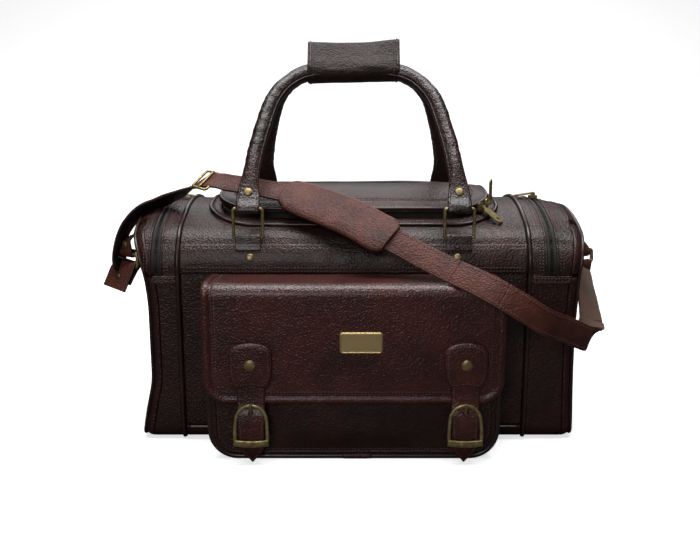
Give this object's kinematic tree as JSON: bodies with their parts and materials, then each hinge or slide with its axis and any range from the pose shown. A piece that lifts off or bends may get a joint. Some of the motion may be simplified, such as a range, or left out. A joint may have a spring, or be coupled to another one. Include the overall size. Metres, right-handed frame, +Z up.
{
  "type": "weekender bag",
  "caption": "Leather weekender bag with a domed zipped lid, paired carry handles, a buckled front flap pocket, zipped end compartments and a padded shoulder strap.",
  "frame": {"origin": "bottom centre of the bag body, on the face it stands on", "axes": "+Z up, front pocket towards -Y, length along X"},
  "size_m": [0.5412, 0.3076, 0.4243],
  "materials": {
    "body_leather": "glossy pebble grain",
    "piping_leather": "glossy",
    "flap_leather": "glossy fine grain",
    "handle_leather": "satin",
    "strap_leather": "satin",
    "strap_flesh": "matt flesh side",
    "zip_tape": "woven",
    "lining_fabric": "woven",
    "stiff_board": "matt",
    "steel_snap": "brushed",
    "antique_brass": "aged satin"
  },
  "bodies": {
    "bag": {"band_rivets": "antique_brass", "base_board": "stiff_board", "base_panel": "body_leather", "compartment_dividers": "lining_fabric", "front_band": "body_leather", "front_panel": "body_leather", "handle_ring_loops": "body_leather", "left_end_cap": "body_leather", "left_end_lower": "body_leather", "left_end_zip": "zip_tape", "lid_zip_lower": "zip_tape", "main_lining": "lining_fabric", "opening_collar": "body_leather", "pocket_front": "body_leather", "pocket_gusset": "body_leather", "pocket_side_zip": "zip_tape", "rear_panel": "body_leather", "right_end_cap": "body_leather", "right_end_lower": "body_leather", "right_end_zip": "zip_tape", "seam_piping": "piping_leather", "side_tabs": "body_leather", "snap_sockets": "steel_snap", "strap_ends": "strap_leather", "strap_left_run": "strap_leather", "strap_pad": "strap_leather", "strap_return": "strap_flesh", "strap_right_run": "strap_leather", "top_panel": "body_leather"},
    "lid": {"lid_top": "body_leather", "lid_zip_upper": "zip_tape"},
    "handle_front": {"front_handle": "handle_leather", "front_rings": "antique_brass", "front_grip": "handle_leather", "front_handle_rivets": "antique_brass"},
    "handle_rear": {"rear_handle": "handle_leather", "rear_rings": "antique_brass", "rear_grip": "handle_leather", "rear_handle_rivets": "antique_brass"},
    "pocket_flap": {"flap": "flap_leather", "closure_tabs": "flap_leather", "closure_straps": "flap_leather", "buckle_frames": "antique_brass", "nameplate": "antique_brass", "snap_studs": "antique_brass"},
    "prong_left": {"left_prong": "antique_brass"},
    "prong_right": {"right_prong": "antique_brass"},
    "adjuster": {"strap_adjuster": "antique_brass"},
    "ring_left": {"left_strap_ring": "antique_brass"},
    "ring_right": {"right_strap_ring": "antique_brass"},
    "left_end_pull_body": {"left_end_pull": "antique_brass"},
    "left_end_slider_body": {"left_end_slider": "antique_brass"},
    "lid_end_pull_body": {"lid_end_pull": "antique_brass"},
    "lid_end_slider_body": {"lid_end_slider": "antique_brass"},
    "lid_front_pull_body": {"lid_front_pull": "antique_brass"},
    "lid_front_slider_body": {"lid_front_slider": "antique_brass"},
    "pocket_pull_body": {"pocket_pull": "antique_brass"},
    "pocket_slider_body": {"pocket_slider": "antique_brass"},
    "right_end_pull_body": {"right_end_pull": "antique_brass"},
    "right_end_slider_body": {"right_end_slider": "antique_brass"}
  },
  "joints": [
    {"name": "lid_open", "type": "hinge", "parent": "bag", "child": "lid", "pos_m": [0, 0.0765, 0.24224], "axis": [-1, 0, 0], "range_deg": [0, 80], "deforming": ["strap_left_run", "strap_pad", "strap_right_run", "strap_return", "strap_ends"]},
    {"name": "handle_front_fold", "type": "hinge", "parent": "bag", "child": "handle_front", "pos_m": [0, -0.108, 0.221], "axis": [1, 0, 0], "range_deg": [0, 95]},
    {"name": "handle_rear_fold", "type": "hinge", "parent": "bag", "child": "handle_rear", "pos_m": [0, 0.108, 0.221], "axis": [-1, 0, 0], "range_deg": [0, 140]},
    {"name": "flap_open", "type": "hinge", "parent": "bag", "child": "pocket_flap", "pos_m": [0, -0.1185, 0.18325], "axis": [1, 0, 0], "range_deg": [-85, 0]},
    {"name": "prong_left_turn", "type": "hinge", "parent": "pocket_flap", "child": "prong_left", "pos_m": [-0.1035, -0.1771, 0.0315], "axis": [1, 0, 0], "range_deg": [0, 60]},
    {"name": "prong_right_turn", "type": "hinge", "parent": "pocket_flap", "child": "prong_right", "pos_m": [0.1125, -0.1771, 0.0315], "axis": [1, 0, 0], "range_deg": [0, 60]},
    {"name": "lid_front_slider_travel", "type": "hinge", "parent": "bag", "child": "lid_front_slider_body", "pos_m": [0.107, -0.035, 0.24521], "axis": [0, 0.2268, -0.9739], "range_deg": [0, 20]},
    {"name": "lid_end_slider_travel", "type": "hinge", "parent": "bag", "child": "lid_end_slider_body", "pos_m": [0.107, -0.035, 0.24521], "axis": [0, -0.2268, 0.9739], "range_deg": [0, 18]},
    {"name": "lid_front_pull_swing", "type": "hinge", "parent": "lid_front_slider_body", "child": "lid_front_pull_body", "pos_m": [0.14002, -0.06689, 0.24697], "axis": [0.6947, 0.7193, 0], "range_deg": [-60, 0]},
    {"name": "lid_end_pull_swing", "type": "hinge", "parent": "lid_end_slider_body", "child": "lid_end_pull_body", "pos_m": [0.14893, -0.05367, 0.25011], "axis": [0.4067, 0.9135, 0], "range_deg": [0, 60]},
    {"name": "left_end_slider_travel", "type": "hinge", "parent": "bag", "child": "left_end_slider_body", "pos_m": [-0.207, 0, 0.027], "axis": [1, 0, 0], "range_deg": [-20, 20]},
    {"name": "left_end_pull_swing", "type": "hinge", "parent": "left_end_slider_body", "child": "left_end_pull_body", "pos_m": [-0.207, 0, 0.2539], "axis": [0, -1, 0], "range_deg": [0, 150]},
    {"name": "right_end_slider_travel", "type": "hinge", "parent": "bag", "child": "right_end_slider_body", "pos_m": [0.207, 0, 0.027], "axis": [1, 0, 0], "range_deg": [-20, 20]},
    {"name": "right_end_pull_swing", "type": "hinge", "parent": "right_end_slider_body", "child": "right_end_pull_body", "pos_m": [0.207, 0, 0.2539], "axis": [0, 1, 0], "range_deg": [0, 150]},
    {"name": "pocket_slider_travel", "type": "slide", "parent": "bag", "child": "pocket_slider_body", "axis": [0, 0, -1], "range_m": [0, 0.095]},
    {"name": "pocket_pull_swing", "type": "hinge", "parent": "pocket_slider_body", "child": "pocket_pull_body", "pos_m": [-0.1527, -0.14, 0.148], "axis": [0, 1, 0], "range_deg": [0, 80]},
    {"name": "adjuster_slide", "type": "slide", "parent": "bag", "child": "adjuster", "axis": [0.995, -0.0995, 0], "range_m": [-0.008, 0.01]},
    {"name": "ring_left_swing", "type": "hinge", "parent": "bag", "child": "ring_left", "pos_m": [-0.25435, -0.045, 0.193], "axis": [0, 1, 0], "range_deg": [0, 12]},
    {"name": "ring_right_swing", "type": "hinge", "parent": "bag", "child": "ring_right", "pos_m": [0.25435, -0.045, 0.193], "axis": [0, -1, 0], "range_deg": [0, 12]}
  ],
  "couplings": [
    {"joint": "handle_front_fold", "follows": "lid_open", "ratio": 1.1875},
    {"joint": "handle_rear_fold", "follows": "lid_open", "ratio": 1.75}
  ]
}
